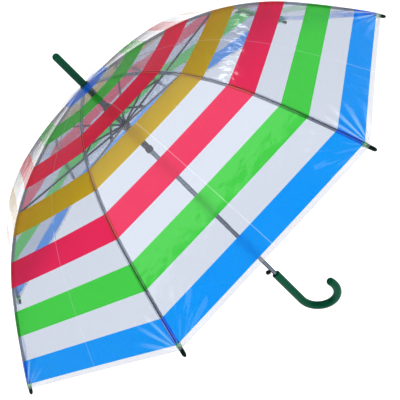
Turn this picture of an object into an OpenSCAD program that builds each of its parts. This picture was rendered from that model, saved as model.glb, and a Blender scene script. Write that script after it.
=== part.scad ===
// Children's push-button stick umbrella, drawn open. The shaft lies along Z with the ferrule at the top,
// and the origin is on the shaft's axis at the middle of the straight grip. Rib 1 points along +X.

/* [Shaft] */
// Outside diameter of the shaft tube
shaft_d = 8; // [7:0.5:9]
// Wall of the shaft tube
shaft_wall = 0.6; // [0.4:0.1:0.8]
// Height of the crown pins above the middle of the grip
crown_z = 535; // [480:5:600]
// Diameter of the ferrule
ferrule_d = 11.7; // [11:0.1:14]
// Height of the ferrule's tip
ferrule_tip_z = 601; // [595:1:620]

/* [Ribs] */
// Radii of the rib's inner, middle and outer arcs
rib_arc_r = [618, 341, 1400]; // [200:1:1600]
// Lengths of those arcs, from the crown pin to the tip bead
rib_arc_len = [156, 178, 125.3]; // [50:0.1:300]
// Dip of the rib below level at the crown pin, in degrees
rib_start_dip = 0.5; // [0:0.1:2]
// Width of the fluted rib
rib_w = 2.6; // [2.4:0.1:2.8]
// Height of the fluted rib
rib_h = 2.8; // [2.6:0.1:3]
// Thickness of the rib's sheet steel
rib_sheet = 0.5; // [0.4:0.1:0.6]
// Distance along the rib from the crown pin to the stretcher's rivet
rivet_at = 213.7; // [200:0.5:230]
// Distance along the stretcher from the runner's pin to the link's pin
link_len = 86; // [80:1:92]

/* [Tip beads] */
// Diameter of a tip bead
bead_d = 5.2; // [5:0.1:6]
// Length of a tip bead
bead_len = 17; // [14:1:20]

/* [Film] */
// Gap between the ribs and the film
film_gap = 0.8; // [0.8:0.1:1.5]
// Thickness of the film's solid
film_t = 0.6; // [0.4:0.1:1]
// Width of the hem below the start of the tip beads
hem_w = 7; // [5:1:12]

/* [Hubs] */
// Radius of the circle that the hub pins lie on
pin_r = 6.6; // [6.4:0.1:7]
// Diameter of the notched hubs
hub_d = 15.6; // [15:0.1:16.5]
// Diameter of the ring wire that threads the eyes
ring_wire_d = 0.9; // [0.7:0.1:1]
// Diameter of the runner's sleeve
runner_d = 10.5; // [10:0.1:12]
// Diameter of the upper hub's sleeve
guide_d = 9.8; // [9.4:0.1:10.4]
// Outside diameter of the opening spring
spring_d = 11.5; // [11:0.1:12.5]
// Turns of the opening spring
spring_turns = 5; // [4:1:7]

/* [Handle] */
// Diameter of the handle
grip_d = 16; // [14:0.5:20]
// Length of the straight grip
grip_len = 89; // [70:1:110]
// Radius of the hook's centreline
hook_r = 37.6; // [30:0.2:45]
// Sweep of the hook in degrees
hook_sweep = 197; // [180:1:215]
// Direction of the hook round the shaft in degrees
hook_azimuth = 78.75; // [0:0.25:360]

/* [Push button] */
// Diameter of the button
button_d = 8.4; // [7:0.1:10]
// Height of the button above the middle of the grip
button_z = 55; // [52:1:60]
// Travel of the button
button_travel = 2; // [1.5:0.1:2]

/* [Hidden] */
$fn = 96;

rib_count = 8;
rib_step = 360 / rib_count;

// A dip is an angle below level, and a point is [distance from the shaft's axis, height].
function outward(dip) = [sin(dip), cos(dip)];
function along(dip) = [cos(dip), -sin(dip)];
function arc_turn(k) = rib_arc_len[k] / rib_arc_r[k] * 180 / PI;
function arc_dip(k) = k == 0 ? rib_start_dip : arc_dip(k - 1) + arc_turn(k - 1);
function arc_start(k) = k == 0 ? 0 : arc_start(k - 1) + rib_arc_len[k - 1];
function arc_centre(k) = k == 0
    ? crown_pin - rib_arc_r[0] * outward(arc_dip(0))
    : arc_centre(k - 1) + (rib_arc_r[k - 1] - rib_arc_r[k]) * outward(arc_dip(k));
function arc_at(s) = s < arc_start(1) ? 0 : s < arc_start(2) ? 1 : 2;
function rib_dip(s) = let(k = arc_at(s)) arc_dip(k) + (s - arc_start(k)) / rib_arc_r[k] * 180 / PI;
function rib_point(s, off = 0) =
    let(k = arc_at(s)) arc_centre(k) + (rib_arc_r[k] + off) * outward(rib_dip(s));

shaft_r = shaft_d / 2;
crown_pin = [pin_r, crown_z];
rivet = rib_point(rivet_at);
runner_pin = [pin_r, 2 * rivet[1] - crown_z];
stretcher_len = norm(rivet - runner_pin);
stretcher_rise = atan2(rivet[1] - runner_pin[1], rivet[0] - pin_r);
link_pin = runner_pin + link_len * [cos(stretcher_rise), sin(stretcher_rise)];
upper_pin = [pin_r, runner_pin[1] + 2 * link_len * sin(stretcher_rise)];
rib_len = rib_arc_len[0] + rib_arc_len[1] + rib_arc_len[2];

// Play in a running fit and in a press fit, and how far a cut reaches past the face that it opens
pin_play = 0.2;
press_play = 0.05;
past = 1;

// Hinge sizes: the eyes turn on the ring wires in the hubs' slots.
eye_d = 3.2;
eye_t = 1.2;
eye_bore_d = ring_wire_d + pin_play;
plate_len = 6;
plate_lap = 1;
plate_h = 2;
slot_w = 1.6;
slot_floor_r = 4.9;
slot_reach = 1.8;
hub_half = 3.4;
hub_chamfer = 0.8;
slide_gap = 0.15;

// Rivet sizes
rivet_d = 1.2;
rivet_bore_d = 1.35;
rivet_head_d = 2.6;
rivet_head_t = 0.5;

// Stretchers and links are fluted bars that end in a fork round the next bar.
bar_h = 2.4;
fork_gap = 0.1;
fork_t = 0.7;
fork_root = 1.6;
ear_d = 2.8;
stretcher_fork = 9;
link_fork = 11;
link_w = 2;

arc_lap = 0.5;

// Tip beads: the rib's tang starts before the rib's end, and fills half of the bead.
bead_drop = 0.9;
bead_gap = 0.2;
tang_lap = 3;
tang_len = bead_len / 2;
tang_h = rib_h - 1.2;

// Film sizes: how far it lies outside the rib's line, and the flat ring of it under the washer
film_inner = rib_h / 2 + film_gap;
film_outer = film_inner + film_t;
film_hole_r = 4.8;
film_flat_r = 9.5;
film_flat_z = crown_z + 3.7;
film_from = 44;
film_steps = 24;

// The tube ends inside the grip and inside the ferrule.
shaft_bottom = -20;
shaft_top = ferrule_tip_z - 13;
socket_gap = 0.5;

washer_gap = 0.1;
washer_t = 1.4;

// The sliding hubs
latch_z = button_z + 23.5;
runner_rim = 3.8;
runner_top = runner_pin[1] + runner_rim;
runner_bottom = crown_z - 143;
runner_flange_h = 8.6;
runner_flange_top = runner_bottom + runner_flange_h;
runner_flange_d = runner_d + 2.5;
runner_cone_h = 11;
guide_top = crown_z - 5.5;
guide_cone_h = 5;
upper_rim = 1;

module ray(i) {
    rotate([0, 0, rib_step * (i - 1)]) children();
}

// A bar in the plane of rib 1 that leaves a point at an angle above level
module bar(from, rise, start, end, w, h) {
    translate([from[0], 0, from[1]]) rotate([0, -rise, 0])
        translate([start, -w / 2, -h / 2]) cube([end - start, w, h]);
}

// A round pin across the plane of rib 1
module cross_pin(at, d, len) {
    translate([at[0], 0, at[1]]) rotate([90, 0, 0]) cylinder(d = d, h = len, center = true);
}

// A fluted bar, open on its lower side
module flute(from, rise, start, end, w, h) {
    difference() {
        bar(from, rise, start, end, w, h);
        translate([from[0], 0, from[1]]) rotate([0, -rise, 0])
            translate([start - past, -w / 2 + rib_sheet, -h / 2 - rib_sheet])
                cube([end - start + 2 * past, w - 2 * rib_sheet, h]);
    }
}

// Two ears and the block that joins them, at the end of a bar of the given length
module fork(from, rise, len, fork_len, inner_w) {
    outer_w = inner_w + 2 * fork_t;
    end = from + len * [cos(rise), sin(rise)];
    difference() {
        union() {
            bar(from, rise, len - fork_len, len, outer_w, bar_h);
            cross_pin(end, ear_d, outer_w);
        }
        bar(from, rise, len - fork_len + fork_root, len + ear_d, inner_w, bar_h + past);
    }
}

// One arc of the fluted rib, which starts a little way along it, or laps over the arc before
module rib_arc(k, skip = 0) {
    c = arc_centre(k);
    r = rib_arc_r[k];
    turn = arc_turn(k) - skip / r * 180 / PI;
    translate([c[0], 0, c[1]]) rotate([90, 0, 0])
        rotate([0, 0, 90 - arc_dip(k) - arc_turn(k)]) rotate_extrude(angle = turn)
            difference() {
                translate([r - rib_h / 2, -rib_w / 2]) square([rib_h, rib_w]);
                translate([r - rib_h / 2 - past, -rib_w / 2 + rib_sheet])
                    square([rib_h + past - rib_sheet, rib_w - 2 * rib_sheet]);
            }
}

module rib(i) {
    tip = rib_point(rib_len);
    color("dimgray") ray(i) difference() {
        union() {
            cross_pin(crown_pin, eye_d, eye_t);
            bar(crown_pin, -rib_start_dip, 0, plate_len, eye_t, plate_h);
            rib_arc(0, skip = plate_len - plate_lap);
            rib_arc(1, skip = -arc_lap);
            rib_arc(2, skip = -arc_lap);
            bar(tip, -rib_dip(rib_len), -tang_lap, tang_len, rib_w - 2 * rib_sheet, tang_h);
        }
        cross_pin(crown_pin, eye_bore_d, eye_t + past);
        cross_pin(rivet, rivet_d + press_play, rib_w + past);
    }
}

// Bead on the end of a rib, with a round nose and a blind socket for the rib's tang
module rib_tip(i) {
    dip = rib_dip(rib_len);
    start = rib_point(rib_len, -bead_drop) + bead_gap * along(dip);
    color("darkgreen") ray(i) difference() {
        translate([start[0], 0, start[1]]) rotate([0, 90 + dip, 0]) union() {
            cylinder(d = bead_d, h = bead_len - bead_d / 2);
            translate([0, 0, bead_len - bead_d / 2]) sphere(d = bead_d);
        }
        bar(rib_point(rib_len), -dip, -past, tang_len + 0.3, rib_w - 2 * rib_sheet + 0.1, tang_h + 0.1);
    }
}

module stretcher(i) {
    color("dimgray") ray(i) difference() {
        union() {
            cross_pin(runner_pin, eye_d, eye_t);
            bar(runner_pin, stretcher_rise, 0, plate_len, eye_t, plate_h);
            flute(runner_pin, stretcher_rise, plate_len - plate_lap,
                stretcher_len - stretcher_fork + plate_lap, rib_w, bar_h);
            bar(runner_pin, stretcher_rise, plate_len - plate_lap, plate_len + 4, eye_t, plate_h);
            fork(runner_pin, stretcher_rise, stretcher_len, stretcher_fork, rib_w + 2 * fork_gap);
        }
        cross_pin(runner_pin, eye_bore_d, eye_t + past);
        cross_pin(rivet, rivet_bore_d, rib_w + 4);
        cross_pin(link_pin, rivet_bore_d, rib_w + 4);
    }
}

// Rivet that joins a stretcher's fork to its rib
module joint_rivet(i) {
    outer_w = rib_w + 2 * fork_gap + 2 * fork_t;
    color("silver") ray(i) {
        cross_pin(rivet, rivet_d, outer_w + 0.3);
        for (side = [-1, 1])
            translate([0, side * (outer_w / 2 + 0.1 + rivet_head_t / 2), 0])
                cross_pin(rivet, rivet_head_d, rivet_head_t);
    }
}

// Link from the upper hub to the middle of a stretcher, with its own pin
module link(i) {
    rise = -stretcher_rise;
    inner_w = rib_w + 2 * fork_gap;
    color("dimgray") ray(i) {
        difference() {
            union() {
                cross_pin(upper_pin, eye_d, eye_t);
                bar(upper_pin, rise, 0, plate_len, eye_t, plate_h);
                bar(upper_pin, rise, plate_len - plate_lap,
                    link_len - link_fork + plate_lap, link_w, bar_h - 0.2);
                fork(upper_pin, rise, link_len, link_fork, inner_w);
            }
            cross_pin(upper_pin, eye_bore_d, eye_t + past);
        }
        cross_pin(link_pin, rivet_d, inner_w + fork_t);
    }
}

// Slots for the eyes and the groove for the ring wire. They open down, or up if turned over.
module hub_cuts(pin_z, down) {
    side = down ? -1 : 1;
    far = side * (hub_half + 4);
    near = -side * slot_reach;
    for (i = [1:rib_count])
        ray(i) translate([slot_floor_r, -slot_w / 2, pin_z + min(far, near)])
            cube([hub_d, slot_w, abs(far - near)]);
    translate([0, 0, pin_z]) rotate_extrude() translate([pin_r - ring_wire_d / 2 - 0.1, -eye_bore_d / 2])
        square([hub_d, eye_bore_d]);
}

module ring_wire(pin_z) {
    translate([0, 0, pin_z]) rotate_extrude() translate([pin_r, 0]) circle(d = ring_wire_d, $fn = 24);
}

module shaft() {
    button_hole_d = 4.6;
    latch_w = 2.6;
    latch_h = 6;
    color("silver") difference() {
        translate([0, 0, shaft_bottom]) cylinder(d = shaft_d, h = shaft_top - shaft_bottom);
        translate([0, 0, shaft_bottom - past])
            cylinder(d = shaft_d - 2 * shaft_wall, h = shaft_top - shaft_bottom + 2 * past);
        rotate([0, 0, hook_azimuth + 180]) {
            translate([0, 0, button_z]) rotate([0, 90, 0]) cylinder(d = button_hole_d, h = shaft_d);
            translate([0, -latch_w / 2, latch_z - 1]) cube([shaft_d, latch_w, latch_h]);
        }
    }
}

module crown() {
    color("black") difference() {
        union() {
            translate([0, 0, crown_z - hub_half]) cylinder(d = hub_d, h = 2 * hub_half - hub_chamfer);
            translate([0, 0, crown_z + hub_half - hub_chamfer])
                cylinder(d1 = hub_d, d2 = hub_d - 2 * hub_chamfer, h = hub_chamfer);
        }
        translate([0, 0, crown_z - hub_half - past])
            cylinder(d = shaft_d + press_play, h = 2 * hub_half + 2 * past);
        hub_cuts(crown_z, down = true);
    }
}

module crown_ring() {
    color("silver") ring_wire(crown_z);
}

module ferrule() {
    base = film_flat_z + film_t + washer_gap + washer_t + washer_gap;
    tip_r = ferrule_d / 2;
    color("darkgreen") difference() {
        union() {
            translate([0, 0, base]) cylinder(d = ferrule_d, h = ferrule_tip_z - base - tip_r);
            translate([0, 0, ferrule_tip_z - tip_r]) sphere(d = ferrule_d);
        }
        translate([0, 0, base - past])
            cylinder(d = shaft_d + press_play, h = shaft_top + socket_gap - base + past);
    }
}

// Washer that presses the film down on the crown
module top_washer() {
    color("darkgreen") translate([0, 0, film_flat_z + film_t + washer_gap]) difference() {
        cylinder(d = hub_d, h = washer_t);
        translate([0, 0, -past]) cylinder(d = shaft_d + press_play, h = washer_t + 2 * past);
    }
}

module handle() {
    top = grip_len / 2;
    edge = 1.2;
    color("darkgreen") rotate([0, 0, hook_azimuth]) difference() {
        union() {
            translate([0, 0, -top]) cylinder(d = grip_d, h = grip_len - edge);
            translate([0, 0, top - edge]) cylinder(d1 = grip_d, d2 = grip_d - 2 * edge, h = edge);
            translate([hook_r, 0, -top]) rotate([90, 0, 0]) rotate([0, 0, 180])
                rotate_extrude(angle = hook_sweep) translate([hook_r, 0]) circle(d = grip_d, $fn = 64);
            translate([hook_r, 0, -top]) rotate([0, 180 - hook_sweep, 0]) translate([hook_r, 0, 0])
                sphere(d = grip_d);
        }
        translate([0, 0, shaft_bottom - socket_gap]) cylinder(d = shaft_d + press_play, h = grip_len);
    }
}

module push_button() {
    gap = button_travel + pin_play;
    head_h = 6;
    chamfer = 1.2;
    stem_d = 4;
    stem_from = 2.4;
    color("black") rotate([0, 0, hook_azimuth + 180]) translate([0, 0, button_z]) rotate([0, 90, 0]) {
        translate([0, 0, shaft_r + gap]) cylinder(d = button_d, h = head_h);
        translate([0, 0, shaft_r + gap + head_h])
            cylinder(d1 = button_d, d2 = button_d - 2 * chamfer, h = chamfer);
        translate([0, 0, stem_from]) cylinder(d = stem_d, h = shaft_r + gap - stem_from);
    }
}

// Steel strip inside the tube that joins the button to the nose that holds the runner down
module latch_hook() {
    strip_x = 1.7;
    strip_t = 0.7;
    strip_w = 2.2;
    strip_end = 5;
    nose_x = shaft_r + 1.6;
    nose_h = 1.2;
    nose_slope_h = 4.5;
    color("silver") rotate([0, 0, hook_azimuth + 180]) {
        translate([strip_x, -strip_w / 2, button_z - strip_end])
            cube([strip_t, strip_w, latch_z - button_z + 2 * strip_end]);
        translate([0, strip_w / 2, 0]) rotate([90, 0, 0]) linear_extrude(height = strip_w)
            polygon([[strip_x + strip_t, latch_z], [nose_x, latch_z],
                     [nose_x, latch_z + nose_h], [strip_x + strip_t, latch_z + nose_slope_h]]);
    }
}

module runner() {
    neck_z = runner_pin[1] - hub_half - hub_chamfer;
    flange_cone_h = 2;
    latch_slot_w = 3.4;
    latch_slot_h = 9;
    color("black") difference() {
        union() {
            translate([0, 0, neck_z]) cylinder(d = hub_d, h = runner_top - neck_z);
            translate([0, 0, neck_z - runner_cone_h])
                cylinder(d1 = runner_d, d2 = hub_d, h = runner_cone_h);
            translate([0, 0, runner_bottom]) cylinder(d = runner_d, h = neck_z - runner_bottom);
            translate([0, 0, runner_bottom])
                cylinder(d = runner_flange_d, h = runner_flange_h - flange_cone_h);
            translate([0, 0, runner_flange_top - flange_cone_h])
                cylinder(d1 = runner_flange_d, d2 = runner_d, h = flange_cone_h);
        }
        translate([0, 0, runner_bottom - past])
            cylinder(d = shaft_d + 2 * slide_gap, h = runner_top - runner_bottom + 2 * past);
        hub_cuts(runner_pin[1], down = false);
        rotate([0, 0, hook_azimuth + 180]) translate([0, -latch_slot_w / 2, runner_bottom - past])
            cube([runner_d, latch_slot_w, latch_slot_h + past]);
    }
}

module runner_ring() {
    color("silver") ring_wire(runner_pin[1]);
}

module upper_hub() {
    z = upper_pin[1];
    color("black") difference() {
        union() {
            translate([0, 0, z - hub_half]) cylinder(d = hub_d, h = 2 * hub_half + upper_rim);
            translate([0, 0, z + hub_half + upper_rim])
                cylinder(d1 = hub_d, d2 = guide_d, h = guide_cone_h);
            translate([0, 0, z]) cylinder(d = guide_d, h = guide_top - z);
        }
        translate([0, 0, z - hub_half - past])
            cylinder(d = shaft_d + 2 * slide_gap, h = guide_top - z + hub_half + 2 * past);
        hub_cuts(z, down = true);
    }
}

module upper_ring() {
    color("silver") ring_wire(upper_pin[1]);
}

// Coil spring between the two sliding hubs, swept as rings of points along a helix
module opening_spring() {
    wire_r = 0.6;
    end_gap = 0.3;
    coil_r = spring_d / 2 - wire_r;
    low = runner_top + end_gap + wire_r;
    high = upper_pin[1] - hub_half - end_gap - wire_r;
    per_turn = 18;
    sides = 8;
    rings = spring_turns * per_turn;
    points = [for (n = [0:rings], m = [0:sides - 1])
        let(a = n * 360 / per_turn, b = m * 360 / sides, r = coil_r + wire_r * cos(b))
        [r * cos(a), r * sin(a), low + (high - low) * n / rings + wire_r * sin(b)]];
    walls = [for (n = [0:rings - 1], m = [0:sides - 1])
        let(p = n * sides + m, q = n * sides + (m + 1) % sides) [p, q, q + sides, p + sides]];
    ends = [[for (m = [sides - 1:-1:0]) m], [for (m = [0:sides - 1]) rings * sides + m]];
    color("dimgray") polyhedron(points, concat(walls, ends), convexity = 10);
}

// Film of eight gores stretched flat from rib to rib, one closed skin with a hole for the shaft
module canopy() {
    s_end = rib_len + hem_w;
    stations = [for (n = [0:film_steps]) film_from + (s_end - film_from) * n / film_steps];
    upper = concat([[film_hole_r, film_flat_z + film_t], [film_flat_r, film_flat_z + film_t]],
                   [for (s = stations) rib_point(s, film_outer)]);
    lower = concat([[film_hole_r, film_flat_z], [film_flat_r, film_flat_z]],
                   [for (s = stations) rib_point(s, film_inner)]);
    outline = concat(upper, [for (n = [len(lower) - 1:-1:0]) lower[n]]);
    count = len(outline);
    points = [for (i = [0:rib_count - 1], p = outline)
        [p[0] * cos(i * rib_step), p[0] * sin(i * rib_step), p[1]]];
    faces = [for (i = [0:rib_count - 1], n = [0:count - 1])
        let(a = i * count, b = (i + 1) % rib_count * count, m = (n + 1) % count)
        [a + n, b + n, b + m, a + m]];
    color("lightblue", 0.4) polyhedron(points, faces, convexity = 10);
}

shaft();
crown();
crown_ring();
ferrule();
top_washer();
handle();
push_button();
latch_hook();
runner();
runner_ring();
upper_hub();
upper_ring();
opening_spring();
canopy();
rib(1);  // rib_1
rib(2);  // rib_2
rib(3);  // rib_3
rib(4);  // rib_4
rib(5);  // rib_5
rib(6);  // rib_6
rib(7);  // rib_7
rib(8);  // rib_8
rib_tip(1);  // rib_tip_1
rib_tip(2);  // rib_tip_2
rib_tip(3);  // rib_tip_3
rib_tip(4);  // rib_tip_4
rib_tip(5);  // rib_tip_5
rib_tip(6);  // rib_tip_6
rib_tip(7);  // rib_tip_7
rib_tip(8);  // rib_tip_8
stretcher(1);  // stretcher_1
stretcher(2);  // stretcher_2
stretcher(3);  // stretcher_3
stretcher(4);  // stretcher_4
stretcher(5);  // stretcher_5
stretcher(6);  // stretcher_6
stretcher(7);  // stretcher_7
stretcher(8);  // stretcher_8
joint_rivet(1);  // joint_rivet_1
joint_rivet(2);  // joint_rivet_2
joint_rivet(3);  // joint_rivet_3
joint_rivet(4);  // joint_rivet_4
joint_rivet(5);  // joint_rivet_5
joint_rivet(6);  // joint_rivet_6
joint_rivet(7);  // joint_rivet_7
joint_rivet(8);  // joint_rivet_8
link(1);  // link_1
link(2);  // link_2
link(3);  // link_3
link(4);  // link_4
link(5);  // link_5
link(6);  // link_6
link(7);  // link_7
link(8);  // link_8
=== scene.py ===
"""Children's push-button umbrella: striped clear film on eight steel ribs, green ferrule, beads and J handle."""

import math

import bmesh
import bpy
from mathutils import Matrix, Vector

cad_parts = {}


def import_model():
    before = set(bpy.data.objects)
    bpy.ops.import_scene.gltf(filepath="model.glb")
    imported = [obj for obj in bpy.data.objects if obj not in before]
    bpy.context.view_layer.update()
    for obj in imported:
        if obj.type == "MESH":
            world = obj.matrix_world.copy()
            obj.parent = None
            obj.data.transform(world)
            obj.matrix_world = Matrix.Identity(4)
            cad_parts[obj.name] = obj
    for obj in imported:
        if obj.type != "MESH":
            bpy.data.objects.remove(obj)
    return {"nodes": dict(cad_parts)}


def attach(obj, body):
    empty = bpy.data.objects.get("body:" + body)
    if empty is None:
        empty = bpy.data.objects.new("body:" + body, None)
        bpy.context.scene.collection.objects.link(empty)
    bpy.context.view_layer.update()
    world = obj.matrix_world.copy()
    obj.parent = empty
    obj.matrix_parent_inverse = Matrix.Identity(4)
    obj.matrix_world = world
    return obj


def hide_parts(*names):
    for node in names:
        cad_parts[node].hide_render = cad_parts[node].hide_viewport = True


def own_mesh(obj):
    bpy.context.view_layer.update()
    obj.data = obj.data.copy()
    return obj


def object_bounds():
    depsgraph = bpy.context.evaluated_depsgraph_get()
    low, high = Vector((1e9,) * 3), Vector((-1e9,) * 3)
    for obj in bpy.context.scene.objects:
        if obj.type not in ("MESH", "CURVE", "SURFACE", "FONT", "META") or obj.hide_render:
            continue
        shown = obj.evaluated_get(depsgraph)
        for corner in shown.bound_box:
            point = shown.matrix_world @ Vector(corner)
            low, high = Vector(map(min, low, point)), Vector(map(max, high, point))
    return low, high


MM = 0.001
RIBS = 8
RIB_STEP = 2 * math.pi / RIBS
HALF_GORE = RIB_STEP / 2

# The rib's line, as three arcs from the crown pin: distance from the shaft's axis and height, in metres
CROWN_PIN = (6.6 * MM, 535.0 * MM)
ARC_RADII = (618 * MM, 341 * MM, 1400 * MM)
ARC_LENGTHS = (156 * MM, 178 * MM, 125.3 * MM)
START_DIP = math.radians(0.5)
RIB_LENGTH = sum(ARC_LENGTHS)

# The film lies this far outside the rib's line, and is this thick.
FILM_OFF = 2.5 * MM
FILM_THICK = 0.25 * MM
# Under the washer it is flat, from its hole to its flat radius, and it meets the ribs' curve at FILM_LIFT.
FILM_HOLE = 4.8 * MM
FILM_FLAT = 9.5 * MM
FILM_FLAT_Z = 539.0 * MM
FILM_LIFT = 44 * MM
LIFT_STEPS = 8
ROW_STEP = 5 * MM
HEM = 7 * MM
# The seam over each rib: a flange on either side under the film, a dark line, and a painted highlight line on
# either side
SEAM_FLANGE = 3.6 * MM
FLANGE_START = 0.9 * MM
FLANGE_UNDER = 0.42 * MM
SEAM_LINE = 1.1 * MM
# Where the painted highlight line beside each seam lies, and how wide it is
SEAM_HIGHLIGHT_LINE = 1.7 * MM
SEAM_HIGHLIGHT_WIDTH = 0.6 * MM
# How far from a mid-gore crease the film looks pale, and how wide its fold is
CREASE_REACH = 0.8 * MM
FOLD_REACH = 1.5 * MM
# The hollow of a gore between its ribs, as a share of its width
GORE_SAG = 0.011


def on_circle(centre, radius, dip):
    """The point of a circle where a line round it would dip by this angle."""
    return centre[0] + radius * math.sin(dip), centre[1] + radius * math.cos(dip)


def rib_dip(along):
    """How far the rib dips below level at a distance along it, as an angle."""
    dip, start = START_DIP, 0.0
    for radius, length in zip(ARC_RADII, ARC_LENGTHS):
        if along < start + length or radius == ARC_RADII[-1]:
            return dip + (along - start) / radius
        dip, start = dip + length / radius, start + length


def rib_point(along, off=0.0):
    """Distance from the shaft's axis and height of a point near the rib's line."""
    dip, start = START_DIP, 0.0
    centre = on_circle(CROWN_PIN, -ARC_RADII[0], dip)
    for k, (radius, length) in enumerate(zip(ARC_RADII, ARC_LENGTHS)):
        if along < start + length or k == len(ARC_RADII) - 1:
            return on_circle(centre, radius + off, dip + (along - start) / radius)
        dip, start = dip + length / radius, start + length
        centre = on_circle(centre, radius - ARC_RADII[k + 1], dip)


def rib_angle(n):
    return (n - 1) * RIB_STEP


# ---------------------------------------------------------------- material helpers


def new_material(name, slot_finish):
    """An empty material with one Principled shader that has the given plain values."""
    mat = bpy.data.materials.new(name)
    mat.use_nodes = True
    tree = mat.node_tree
    shader = tree.nodes["Principled BSDF"]
    for socket, value in slot_finish.items():
        shader.inputs[socket].default_value = value
    return mat, tree, shader


def node(tree, kind, **settings):
    made = tree.nodes.new(kind)
    for key, value in settings.items():
        setattr(made, key, value)
    return made


def object_coordinates(tree):
    return node(tree, "ShaderNodeTexCoord").outputs["Object"]


def noise_value(tree, vector, scale, detail=3.0, stretch=(1, 1, 1)):
    """A noise pattern, stretched along chosen directions."""
    mapping = node(tree, "ShaderNodeMapping")
    mapping.inputs["Scale"].default_value = stretch
    tree.links.new(vector, mapping.inputs["Vector"])
    noise = node(tree, "ShaderNodeTexNoise")
    noise.inputs["Scale"].default_value = scale
    noise.inputs["Detail"].default_value = detail
    tree.links.new(mapping.outputs[0], noise.inputs["Vector"])
    return noise.outputs["Fac"]


def remap(tree, value, low, high, from_low=0.3, from_high=0.7):
    span = node(tree, "ShaderNodeMapRange")
    span.inputs["From Min"].default_value = from_low
    span.inputs["From Max"].default_value = from_high
    span.inputs["To Min"].default_value = low
    span.inputs["To Max"].default_value = high
    tree.links.new(value, span.inputs["Value"])
    return span.outputs[0]


def maths(tree, operation, a, b=None):
    made = node(tree, "ShaderNodeMath", operation=operation)
    for socket, value in zip(made.inputs, (a, b)):
        if isinstance(value, (int, float)):
            socket.default_value = value
        elif value is not None:
            tree.links.new(value, socket)
    return made.outputs[0]


def colour_mix(tree, share, a, b):
    made = node(tree, "ShaderNodeMix", data_type="RGBA")
    for socket, value in zip((made.inputs[0], made.inputs[6], made.inputs[7]), (share, a, b)):
        if isinstance(value, (int, float)):
            socket.default_value = value
        elif isinstance(value, tuple):
            socket.default_value = (*value, 1)
        else:
            tree.links.new(value, socket)
    return made.outputs[2]


def bump_into(tree, height, socket, strength, distance):
    bump = node(tree, "ShaderNodeBump")
    bump.inputs["Strength"].default_value = strength
    bump.inputs["Distance"].default_value = distance
    tree.links.new(height, bump.inputs["Height"])
    tree.links.new(bump.outputs[0], socket)


def surface_marks_group():
    """Fine grain, handling smears and light scuffs, which every hard part shares."""
    group = bpy.data.node_groups.new("surface_marks", "ShaderNodeTree")
    side = group.interface
    side.new_socket("Vector", in_out="INPUT", socket_type="NodeSocketVector")
    for name, value in (("Grain Scale", 900.0), ("Smear Scale", 45.0), ("Scuff Amount", 0.3)):
        side.new_socket(name, in_out="INPUT", socket_type="NodeSocketFloat").default_value = value
    for name in ("Grain", "Smear", "Scuff"):
        side.new_socket(name, in_out="OUTPUT", socket_type="NodeSocketFloat")
    start, end = node(group, "NodeGroupInput"), node(group, "NodeGroupOutput")
    grain = node(group, "ShaderNodeTexNoise")
    grain.inputs["Detail"].default_value = 2.0
    smear = node(group, "ShaderNodeTexNoise")
    smear.inputs["Detail"].default_value = 5.0
    scuff = node(group, "ShaderNodeTexNoise")
    scuff.inputs["Detail"].default_value = 8.0
    scuff.inputs["Roughness"].default_value = 0.7
    scuff.inputs["Scale"].default_value = 160.0
    for noise in (grain, smear, scuff):
        group.links.new(start.outputs["Vector"], noise.inputs["Vector"])
    group.links.new(start.outputs["Grain Scale"], grain.inputs["Scale"])
    group.links.new(start.outputs["Smear Scale"], smear.inputs["Scale"])
    peaks = remap(group, scuff.outputs["Fac"], 0.0, 1.0, 0.6, 0.75)
    group.links.new(grain.outputs["Fac"], end.inputs["Grain"])
    group.links.new(smear.outputs["Fac"], end.inputs["Smear"])
    group.links.new(maths(group, "MULTIPLY", peaks, start.outputs["Scuff Amount"]), end.inputs["Scuff"])
    return group


def marks(tree, group, vector, grain_scale, smear_scale, scuff_amount):
    made = node(tree, "ShaderNodeGroup", node_tree=group)
    made.inputs["Grain Scale"].default_value = grain_scale
    made.inputs["Smear Scale"].default_value = smear_scale
    made.inputs["Scuff Amount"].default_value = scuff_amount
    tree.links.new(vector, made.inputs["Vector"])
    return made.outputs


def hard_material(name, group, colour, scuffed, rough, grain, values, bump=0.15, smears=45.0, scuff=0.3):
    """A hard finish: its colour turns to the scuffed colour in patches, and smears change its roughness."""
    mat, tree, shader = new_material(name, values)
    out = marks(tree, group, object_coordinates(tree), grain, smears, scuff)
    shade = colour_mix(tree, out["Scuff"], colour, scuffed)
    tree.links.new(shade, shader.inputs["Base Color"])
    tree.links.new(remap(tree, out["Smear"], rough[0], rough[1]), shader.inputs["Roughness"])
    bump_into(tree, out["Grain"], shader.inputs["Normal"], bump, 0.0002)
    return mat


# ---------------------------------------------------------------- materials

CLEAR_TINT = (0.56, 0.60, 0.68)
HEM_TINT = (0.74, 0.75, 0.79)
RED_TINT = (0.90, 0.025, 0.19)
GREEN_TINT = (0.09, 0.72, 0.10)
BLUE_TINT = (0.0, 0.51, 0.93)
YELLOW_TINT = (0.74, 0.60, 0.0)
CLEAR_BODY = (0.80, 0.82, 0.90)
RED_BODY = (0.72, 0.006, 0.018)
GREEN_BODY = (0.004, 0.42, 0.012)
BLUE_BODY = (0.0, 0.15, 0.90)
YELLOW_BODY = (0.54, 0.27, 0.0)
# The film's pale colour, used for the mottle, the creases and the flange, and also for the painted highlight beside
# each seam
STRESSED_FILM_AND_HIGHLIGHT = (0.93, 0.95, 1.0)
SEAM_SHADE = (0.02, 0.022, 0.025)

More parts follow.
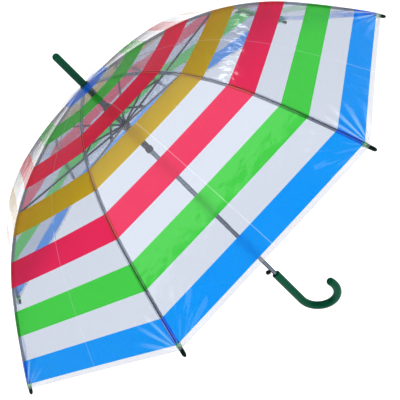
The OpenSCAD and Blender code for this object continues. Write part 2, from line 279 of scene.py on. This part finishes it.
# Each band from the crown down: where it starts along the rib in millimetres, its see-through tint, the frosting
# of the ink, the colour of the ink's body, and how much of the light the ink stops.
BANDS = [
    (0.0, BLUE_TINT, 0.30, BLUE_BODY, 0.33),
    (39.3, CLEAR_TINT, 0.04, CLEAR_BODY, 0.03),
    (74.3, GREEN_TINT, 0.28, GREEN_BODY, 0.24),
    (109.3, CLEAR_TINT, 0.04, CLEAR_BODY, 0.03),
    (144.3, RED_TINT, 0.36, RED_BODY, 0.33),
    (179.3, CLEAR_TINT, 0.04, CLEAR_BODY, 0.03),
    (214.3, YELLOW_TINT, 0.36, YELLOW_BODY, 0.36),
    (249.3, CLEAR_TINT, 0.04, CLEAR_BODY, 0.03),
    (284.3, RED_TINT, 0.36, RED_BODY, 0.33),
    (319.3, CLEAR_TINT, 0.04, CLEAR_BODY, 0.03),
    (354.3, GREEN_TINT, 0.28, GREEN_BODY, 0.24),
    (389.3, CLEAR_TINT, 0.04, CLEAR_BODY, 0.03),
    (424.3, BLUE_TINT, 0.30, BLUE_BODY, 0.33),
    (459.3, HEM_TINT, 0.05, CLEAR_BODY, 0.10),
]
# The length of film that the bands' ramp covers, in millimetres
BAND_SPAN = 480.0


def band_ramp(tree, position, colour_at, alpha_at):
    """A stepped ramp over the film's bands, with a colour and a value for each band."""
    ramp = node(tree, "ShaderNodeValToRGB")
    stops = ramp.color_ramp
    stops.interpolation = "CONSTANT"
    while len(stops.elements) > 1:
        stops.elements.remove(stops.elements[-1])
    stops.elements[0].position = 0.0
    for band in BANDS[1:]:
        stops.elements.new(band[0] / BAND_SPAN)
    for stop, band in zip(stops.elements, BANDS):
        stop.color = (*band[colour_at], band[alpha_at])
    tree.links.new(position, ramp.inputs["Fac"])
    return ramp.outputs["Color"], ramp.outputs["Alpha"]


PLEATS = 15.0
PLEAT_HEIGHT = 3.0
PLEAT_REACH = (0.012, 0.075)


def corner_pleats(tree, along, across):
    """Small pleats that spread over the film from each rib's tip and fade out."""
    up_from_tip = maths(tree, "SUBTRACT", RIB_LENGTH + HEM, along)
    heading = maths(tree, "ARCTAN2", across, up_from_tip)
    wave = maths(tree, "SINE", maths(tree, "MULTIPLY", heading, PLEATS))
    reach = maths(tree, "SQRT", maths(
        tree, "ADD", maths(tree, "POWER", across, 2.0), maths(tree, "POWER", up_from_tip, 2.0)))
    fade = remap(tree, reach, PLEAT_HEIGHT, 0.0, *PLEAT_REACH)
    return maths(tree, "MULTIPLY", wave, fade)


def film_material():
    """Clear film with printed bands: frosted ink that lets light through, over glossy clear film."""
    gloss = {"Coat Weight": 0.9, "Coat Roughness": 0.05}
    mat, tree, glass = new_material(
        "printed_film", {"Transmission Weight": 1.0, "IOR": 1.15, "Specular IOR Level": 0.1, **gloss})
    glass.name = "clear film"
    along = node(tree, "ShaderNodeAttribute", attribute_name="along").outputs["Fac"]
    across = node(tree, "ShaderNodeAttribute", attribute_name="across").outputs["Fac"]
    crease = node(tree, "ShaderNodeAttribute", attribute_name="to_crease").outputs["Fac"]
    flange = node(tree, "ShaderNodeAttribute", attribute_name="flange").outputs["Fac"]
    # Wrinkles follow the sheet, along and across each panel.
    sheet = node(tree, "ShaderNodeCombineXYZ")
    tree.links.new(across, sheet.inputs[0])
    tree.links.new(along, sheet.inputs[1])
    place = object_coordinates(tree)

    position = maths(tree, "MULTIPLY", along, 1 / (BAND_SPAN * MM))
    tint, frost = band_ramp(tree, position, 1, 2)
    body, stopped = band_ramp(tree, position, 3, 4)

    mottle = noise_value(tree, place, 260.0, 4.0)
    cloud = noise_value(tree, place, 22.0, 2.0)
    pale = remap(tree, maths(tree, "ADD", mottle, cloud), 0.0, 0.007, 0.8, 1.25)
    line = remap(tree, crease, 0.38, 0.0, 0.0, CREASE_REACH)
    from_seam = maths(tree, "ABSOLUTE", across)
    # A pale line on either side of each seam is a painted highlight. It is mixed into the film's pale colour with
    # the mottle, the crease line and the flange.
    seam_highlight = maths(tree, "COMPARE", from_seam, SEAM_HIGHLIGHT_LINE)
    seam_highlight.node.inputs[2].default_value = SEAM_HIGHLIGHT_WIDTH / 2
    pale_and_highlight = maths(tree, "ADD", maths(tree, "ADD", pale, line), maths(tree, "MULTIPLY", seam_highlight, 0.4))
    pale_and_highlight = maths(tree, "ADD", pale_and_highlight, maths(tree, "MULTIPLY", flange, 0.1))
    seam = maths(tree, "MULTIPLY", maths(tree, "LESS_THAN", from_seam, SEAM_LINE / 2), 0.45)
    shade = colour_mix(tree, seam, colour_mix(tree, pale_and_highlight, tint, STRESSED_FILM_AND_HIGHLIGHT), SEAM_SHADE)
    tree.links.new(shade, glass.inputs["Base Color"])
    tree.links.new(frost, glass.inputs["Roughness"])

    wrinkle = noise_value(tree, sheet.outputs[0], 1.0, 4.0, (34, 14, 1))
    grain = noise_value(tree, place, 900.0, 2.0)
    fold = remap(tree, crease, 1.0, 0.0, 0.0, FOLD_REACH)
    height = maths(tree, "ADD", maths(tree, "MULTIPLY", grain, 0.05), wrinkle)
    height = maths(tree, "ADD", height, maths(tree, "MULTIPLY", fold, 0.25))
    height = maths(tree, "ADD", height, corner_pleats(tree, along, across))
    bump_into(tree, height, glass.inputs["Normal"], 0.2, 0.0005)
    crumple = noise_value(tree, place, 30.0, 2.5)
    ridges = maths(tree, "ABSOLUTE", maths(tree, "SUBTRACT", crumple, 0.5))
    gloss_height = maths(tree, "ADD", height, maths(tree, "MULTIPLY", ridges, 2.5))
    bump_into(tree, gloss_height, glass.inputs["Coat Normal"], 0.5, 0.0012)

    ink = node(tree, "ShaderNodeBsdfPrincipled", name="ink")
    for socket, value in {"Roughness": 0.35, "Specular IOR Level": 0.0, **gloss}.items():
        ink.inputs[socket].default_value = value
    printed_shade = colour_mix(tree, seam, colour_mix(tree, pale_and_highlight, body, STRESSED_FILM_AND_HIGHLIGHT), SEAM_SHADE)
    tree.links.new(printed_shade, ink.inputs["Base Color"])
    for side in ("Normal", "Coat Normal"):
        tree.links.new(glass.inputs[side].links[0].from_socket, ink.inputs[side])

    printed = node(tree, "ShaderNodeMixShader")
    tree.links.new(stopped, printed.inputs[0])
    tree.links.new(glass.outputs[0], printed.inputs[1])
    tree.links.new(ink.outputs[0], printed.inputs[2])

    lamp = node(tree, "ShaderNodeBsdfTransparent")
    tree.links.new(colour_mix(tree, 0.25, tint, (0.3, 0.3, 0.3)), lamp.inputs["Color"])
    path = node(tree, "ShaderNodeLightPath")
    lit = node(tree, "ShaderNodeMixShader")
    tree.links.new(path.outputs["Is Shadow Ray"], lit.inputs[0])
    tree.links.new(printed.outputs[0], lit.inputs[1])
    tree.links.new(lamp.outputs[0], lit.inputs[2])
    tree.links.new(lit.outputs[0], tree.nodes["Material Output"].inputs["Surface"])
    return mat


def chromed_tube(group):
    """A bright tube with a painted dark reflection towards its sides, set by the angle at which it is seen."""
    mat = hard_material(
        "chromed_tube", group, (0.20, 0.24, 0.28), (0.14, 0.16, 0.18), (0.08, 0.16), 700.0,
        {"Metallic": 1.0}, bump=0.05)
    tree = mat.node_tree
    shader = tree.nodes["Principled BSDF"]
    bright = shader.inputs["Base Color"].links[0].from_socket
    # Painted reflection: the base colour turns dark towards the tube's sides, by the angle at which it is seen.
    turned = node(tree, "ShaderNodeLayerWeight")
    turned.inputs["Blend"].default_value = 0.5
    painted_dark_reflection = remap(tree, turned.outputs["Facing"], 0.0, 1.0, 0.12, 0.45)
    tree.links.new(colour_mix(tree, painted_dark_reflection, bright, (0.035, 0.05, 0.065)), shader.inputs["Base Color"])
    return mat


def all_materials():
    group = surface_marks_group()
    return {
        "film": film_material(),
        "green_plastic": hard_material(
            "green_plastic", group, (0.0, 0.105, 0.052), (0.0, 0.13, 0.065), (0.16, 0.26), 1100.0,
            {"Specular IOR Level": 0.12}, bump=0.08),
        "bead_plastic": hard_material(
            "bead_plastic", group, (0.0, 0.022, 0.011), (0.002, 0.035, 0.016), (0.16, 0.26), 1100.0,
            {"Specular IOR Level": 0.12}, bump=0.08),
        "black_plastic": hard_material(
            "black_plastic", group, (0.008, 0.009, 0.012), (0.03, 0.03, 0.035), (0.32, 0.5), 1400.0,
            {"Specular IOR Level": 0.2}, bump=0.2),
        "chromed_tube": chromed_tube(group),
        "rib_steel": hard_material(
            "rib_steel", group, (0.32, 0.33, 0.34), (0.25, 0.25, 0.26), (0.25, 0.42), 900.0,
            {"Metallic": 0.8}, bump=0.15),
        "dark_steel": hard_material(
            "dark_steel", group, (0.09, 0.09, 0.095), (0.2, 0.2, 0.21), (0.28, 0.42), 900.0,
            {"Metallic": 0.85}, bump=0.15),
        "bare_steel": hard_material(
            "bare_steel", group, (0.5, 0.5, 0.5), (0.3, 0.3, 0.3), (0.22, 0.4), 900.0,
            {"Metallic": 1.0}, bump=0.1),
        "spring_steel": hard_material(
            "spring_steel", group, (0.06, 0.06, 0.065), (0.25, 0.25, 0.26), (0.25, 0.4), 900.0,
            {"Metallic": 0.9}, bump=0.1),
        "pocket": hard_material(
            "pocket_film", group, (0.16, 0.72, 0.20), (0.4, 0.8, 0.42), (0.2, 0.35), 800.0,
            {"Transmission Weight": 0.15, "Coat Weight": 0.4}, bump=0.2),
        "floor": hard_material(
            "floor_paper", group, (0.34, 0.34, 0.34), (0.32, 0.32, 0.32), (0.8, 0.9), 300.0,
            {"Emission Color": (1, 1, 1, 1), "Emission Strength": 1.14, "Specular IOR Level": 0.0}, bump=0.02),
    }


# ---------------------------------------------------------------- film


def film_stations():
    """The film's section over a rib: distance along, distance from the axis, height, and the slope's dip."""
    flat_along, flat_dip, lift_dip = FILM_FLAT - CROWN_PIN[0], 0.05, 0.09
    rows = [(0.0, FILM_HOLE, FILM_FLAT_Z, 0.0), (flat_along, FILM_FLAT, FILM_FLAT_Z, flat_dip)]
    lift = rib_point(FILM_LIFT, FILM_OFF)
    for n in range(1, LIFT_STEPS):
        part = n / LIFT_STEPS
        rows.append((
            flat_along * (1 - part) + FILM_LIFT * part,
            FILM_FLAT * (1 - part) + lift[0] * part,
            FILM_FLAT_Z * (1 - part) + lift[1] * part,
            lift_dip,
        ))
    edges = [band[0] * MM for band in BANDS[2:]] + [RIB_LENGTH + HEM]
    start = FILM_LIFT
    for edge in edges:
        steps = max(2, round((edge - start) / ROW_STEP))
        for n in range(steps):
            along = start + (edge - start) * n / steps
            rows.append((along, *rib_point(along, FILM_OFF), rib_dip(along)))
        start = edge
    rows.append((start, *rib_point(start, FILM_OFF), rib_dip(start)))
    return rows


def film_columns():
    """How far across the half gore each line of points lies, from the seam at 0 to the crease at 1."""
    return [0.0, 0.006, 0.014, 0.03, 0.06, 0.1, 0.16, 0.24, 0.34, 0.46, 0.6, 0.74, 0.87, 0.95, 1.0]


def film_place(n, row, share, side, inward=0.0):
    """A point of the film on a gore: straight from rib to rib, with a shallow hollow between them. Share is how far
    it lies from the seam to the crease, side is -1 or 1, and inward is an extra drop below the film."""
    _, radius, height, dip = row
    chord_x = radius * (1 - share * (1 - math.cos(HALF_GORE) ** 2))
    chord_y = side * share * radius * math.cos(HALF_GORE) * math.sin(HALF_GORE)
    width = 2 * radius * math.sin(HALF_GORE)
    hollow = width * GORE_SAG * math.sin(math.pi / 2 * share) + inward
    lean = math.sin(dip)
    turn = side * HALF_GORE
    x = chord_x - hollow * lean * math.cos(turn)
    y = chord_y - hollow * lean * math.sin(turn)
    z = height - hollow * math.cos(dip)
    angle = rib_angle(n)
    return Vector((x * math.cos(angle) - y * math.sin(angle), x * math.sin(angle) + y * math.cos(angle), z))


def film_panel(n, materials):
    """The film over one rib, from crease to crease, with the welded flange under its seam."""
    rows, columns = film_stations(), film_columns()
    mesh = bpy.data.meshes.new(f"film_panel_{n}")
    build = bmesh.new()
    along = build.verts.layers.float.new("along")
    across = build.verts.layers.float.new("across")
    crease = build.verts.layers.float.new("to_crease")
    flange = build.verts.layers.float.new("flange")

    def point(row, share, side, inward=0.0):
        half_width = row[1] * math.sin(HALF_GORE)
        made = build.verts.new(film_place(n, row, share, side, inward))
        made[along], made[across] = row[0], side * share * half_width
        made[crease] = (1 - share) * half_width
        made[flange] = float(inward > 0)
        return made

    signed = [-c for c in reversed(columns[1:])] + columns
    grid = [[point(row, abs(c), -1 if c < 0 else 1) for c in signed] for row in rows]
    for upper, lower in zip(grid, grid[1:]):
        for k in range(len(signed) - 1):
            build.faces.new((upper[k], lower[k], lower[k + 1], upper[k + 1]))

    for side in (-1, 1):
        strip = []
        for row in rows[LIFT_STEPS + 1:-2]:
            half_width = row[1] * math.sin(HALF_GORE)
            reach = [FLANGE_START, SEAM_FLANGE * 0.5, SEAM_FLANGE]
            strip.append([point(row, d / half_width, side, FLANGE_UNDER) for d in reach])
        for upper, lower in zip(strip, strip[1:]):
            for k in range(len(reach) - 1):
                corners = (upper[k], lower[k], lower[k + 1], upper[k + 1])
                build.faces.new(corners if side > 0 else corners[::-1])
    area = sum(face.calc_area() for face in build.faces)
    build.to_mesh(mesh)
    build.free()
    mesh.materials.append(materials["film"])
    panel = bpy.data.objects.new(f"film_panel_{n}", mesh)
    bpy.context.scene.collection.objects.link(panel)
    wall = panel.modifiers.new("film thickness", "SOLIDIFY")
    wall.thickness = FILM_THICK
    wall.offset = 0.0
    deselect_all()
    bpy.context.view_layer.objects.active = panel
    panel.select_set(True)
    bpy.ops.object.modifier_apply(modifier=wall.name)
    bpy.ops.object.shade_smooth_by_angle(angle=math.radians(50))
    return panel, area


def make_canopy(materials):
    """Eight film panels, each of which turns with its rib."""
    for n in range(1, RIBS + 1):
        panel, area = film_panel(n, materials)
        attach(panel, f"rib_{n}")
        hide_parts("canopy")
        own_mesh(panel)


# ---------------------------------------------------------------- rib tips

BEAD_RADIUS = 2.6 * MM
BEAD_DROP = 0.9 * MM
# Each ring of the bead, from its mouth to its nose: how far it rises in millimetres, and its scale
BEAD_RINGS = ((0.6, 1.11), (6.0, 1.0), (4.4, 0.97), (1.6, 0.9), (1.2, 0.78), (0.8, 0.6), (0.4, 0.4))
SLEEVE_LENGTH = 6 * MM
SLEEVE_WALL = 0.3 * MM


def deselect_all():
    bpy.ops.object.select_all(action="DESELECT")


def pick_faces(obj, wanted):
    """In edit mode, selects only the faces whose centre and normal satisfy wanted."""
    bpy.ops.mesh.select_mode(type="FACE")
    bpy.ops.mesh.select_all(action="DESELECT")
    shape = bmesh.from_edit_mesh(obj.data)
    for face in shape.faces:
        face.select = wanted(face.calc_center_median(), face.normal)
    shape.select_flush_mode()
    bmesh.update_edit_mesh(obj.data)


def place_copy(shape, name, matrix):
    """A copy of a modelled shape with its own mesh, set at its place in that mesh."""
    mesh = shape.data.copy()
    mesh.name = name
    mesh.transform(matrix)
    copy = bpy.data.objects.new(name, mesh)
    bpy.context.scene.collection.objects.link(copy)
    return copy


def turned_along_rib(n, along, off):
    """Takes +Z to the rib's direction at a distance along rib n."""
    dip = rib_dip(along)
    r, z = rib_point(along, off)
    return (
        Matrix.Rotation(rib_angle(n), 4, "Z")
        @ Matrix.Translation((r, 0, z))
        @ Matrix.Rotation(math.pi / 2 + dip, 4, "Y")
    )


def bead_shape():
    """A moulded bead: a barrel with a rounded nose and a chamfered mouth."""
    deselect_all()
    bpy.ops.mesh.primitive_cylinder_add(
        vertices=32, radius=BEAD_RADIUS * 0.9, depth=2 * MM, location=(0, 0, 1 * MM))
    bead = bpy.context.object
    bpy.ops.object.mode_set(mode="EDIT")
    pick_faces(bead, lambda c, normal: normal.z > 0.9)
    for rise, scale in BEAD_RINGS:
        bpy.ops.mesh.extrude_region_move(TRANSFORM_OT_translate={"value": (0, 0, rise * MM)})
        bpy.ops.transform.resize(value=(scale, scale, 1))
    bpy.ops.object.mode_set(mode="OBJECT")
    soften = bead.modifiers.new("moulded edges", "BEVEL")
    soften.width = 0.18 * MM
    soften.segments = 2
    soften.limit_method = "ANGLE"
    bpy.ops.object.modifier_apply(modifier=soften.name)
    bpy.ops.object.shade_smooth_by_angle(angle=math.radians(35))
    return bead


def pocket_shape():
    """The film's corner, drawn over the start of the bead as a short sleeve."""
    deselect_all()
    bpy.ops.mesh.primitive_cylinder_add(
        vertices=32, radius=BEAD_RADIUS * 1.1, depth=SLEEVE_LENGTH, location=(0, 0, SLEEVE_LENGTH / 2),
        end_fill_type="NOTHING")
    pocket = bpy.context.object
    wall = pocket.modifiers.new("film thickness", "SOLIDIFY")
    wall.thickness = SLEEVE_WALL
    wall.offset = 1.0
    bpy.ops.object.modifier_apply(modifier=wall.name)
    bpy.ops.object.shade_smooth_by_angle(angle=math.radians(35))
    return pocket


def make_rib_tips(materials):
    bead, pocket = bead_shape(), pocket_shape()
    for n in range(1, RIBS + 1):
        lie = turned_along_rib(n, RIB_LENGTH, -BEAD_DROP)
        tip = place_copy(bead, f"tip_bead_{n}", lie)
        tip.data.materials.append(materials["bead_plastic"])
        sleeve = place_copy(pocket, f"tip_pocket_{n}", lie)
        sleeve.data.materials.append(materials["pocket"])
        for piece, slot in ((tip, "green_plastic"), (sleeve, "film")):
            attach(piece, f"rib_{n}")
        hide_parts(f"rib_tip_{n}")
    for shape in (bead, pocket):
        bpy.data.objects.remove(shape)


# ---------------------------------------------------------------- finishes of the CAD nodes


def finish_cad_nodes(nodes, materials):
    finishes = {
        "chromed_tube": ["shaft"],
        "green_plastic": ["ferrule", "top_washer", "handle"],
        "black_plastic": ["crown", "push_button", "runner", "upper_hub"],
        "bare_steel": ["crown_ring", "runner_ring", "upper_ring", "latch_hook"]
        + [f"joint_rivet_{n}" for n in range(1, RIBS + 1)],
        "spring_steel": ["opening_spring"],
        "rib_steel": [f"rib_{n}" for n in range(1, RIBS + 1)],
        "dark_steel": [f"{part}_{n}" for part in ("stretcher", "link") for n in range(1, RIBS + 1)],
    }
    for finish, names in finishes.items():
        for name in names:
            part = nodes[name]
            part.data.materials.clear()
            part.data.materials.append(materials[finish])


# ---------------------------------------------------------------- camera, lights and floor


def make_camera():
    lens = bpy.data.cameras.new("camera")
    lens.sensor_width = 36.0
    lens.lens = 50.99
    lens.shift_x = -0.0322
    lens.shift_y = 0.0532
    lens.clip_start = 0.01
    camera = bpy.data.objects.new("camera", lens)
    camera.location = (0.84924, 0.29568, 0.67504)
    camera.rotation_euler = [math.radians(a) for a in (54.033, 39.699, 85.091)]
    bpy.context.scene.collection.objects.link(camera)
    bpy.context.scene.camera = camera


def softbox(name, place, aim, size, power):
    lamp = bpy.data.lights.new(name, "AREA")
    lamp.shape = "RECTANGLE"
    lamp.size, lamp.size_y = size
    lamp.energy = power
    light = bpy.data.objects.new(name, lamp)
    light.location = place
    light.rotation_euler = (Vector(aim) - Vector(place)).to_track_quat("-Z", "Y").to_euler()
    bpy.context.scene.collection.objects.link(light)


def studio_world():
    """A white backdrop. What surfaces reflect above the horizon is dimmer, so that gloss doesn't veil colours."""
    world = bpy.data.worlds.new("studio")
    bpy.context.scene.world = world
    world.use_nodes = True
    tree = world.node_tree
    heading = node(tree, "ShaderNodeSeparateXYZ")
    tree.links.new(node(tree, "ShaderNodeTexCoord").outputs["Generated"], heading.inputs[0])
    ceiling = remap(tree, heading.outputs[2], 0.0, 1.0, 0.06, 0.18)
    path = node(tree, "ShaderNodeLightPath")
    seen = maths(tree, "MAXIMUM", path.outputs["Is Camera Ray"], path.outputs["Is Transmission Ray"])
    ceiling = maths(tree, "MULTIPLY", ceiling, maths(tree, "SUBTRACT", 1.0, seen))
    shade = colour_mix(tree, ceiling, (1.0, 1.0, 1.0), (0.24, 0.24, 0.25))
    tree.links.new(shade, tree.nodes["Background"].inputs["Color"])
    tree.nodes["Background"].inputs["Strength"].default_value = 1.08


def make_studio(materials, lowest):
    studio_world()
    bpy.context.scene.view_settings.view_transform = "Standard"
    bpy.context.scene.view_settings.gamma = 0.92
    softbox("front softbox", (0.38, 0.19, 1.95), (0.26, 0.13, 0.45), (1.5, 1.9), 11.5)
    softbox("back strip", (-1.1, 1.05, 1.86), (0.1, 0.3, 0.45), (0.2, 0.9), 2.2)

    deselect_all()
    bpy.ops.mesh.primitive_grid_add(
        x_subdivisions=8, y_subdivisions=8, size=30, location=(0, 0, lowest - 1 * MM))
    floor = bpy.context.object
    floor.name = "floor"
    floor.data.materials.append(materials["floor"])


# ---------------------------------------------------------------- the umbrella


def main():
    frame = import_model()
    cad_box = [list(corner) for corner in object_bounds()]
    make_camera()
    materials = all_materials()
    make_canopy(materials)
    make_rib_tips(materials)
    finish_cad_nodes(frame["nodes"], materials)
    make_studio(materials, cad_box[0][2])


main()
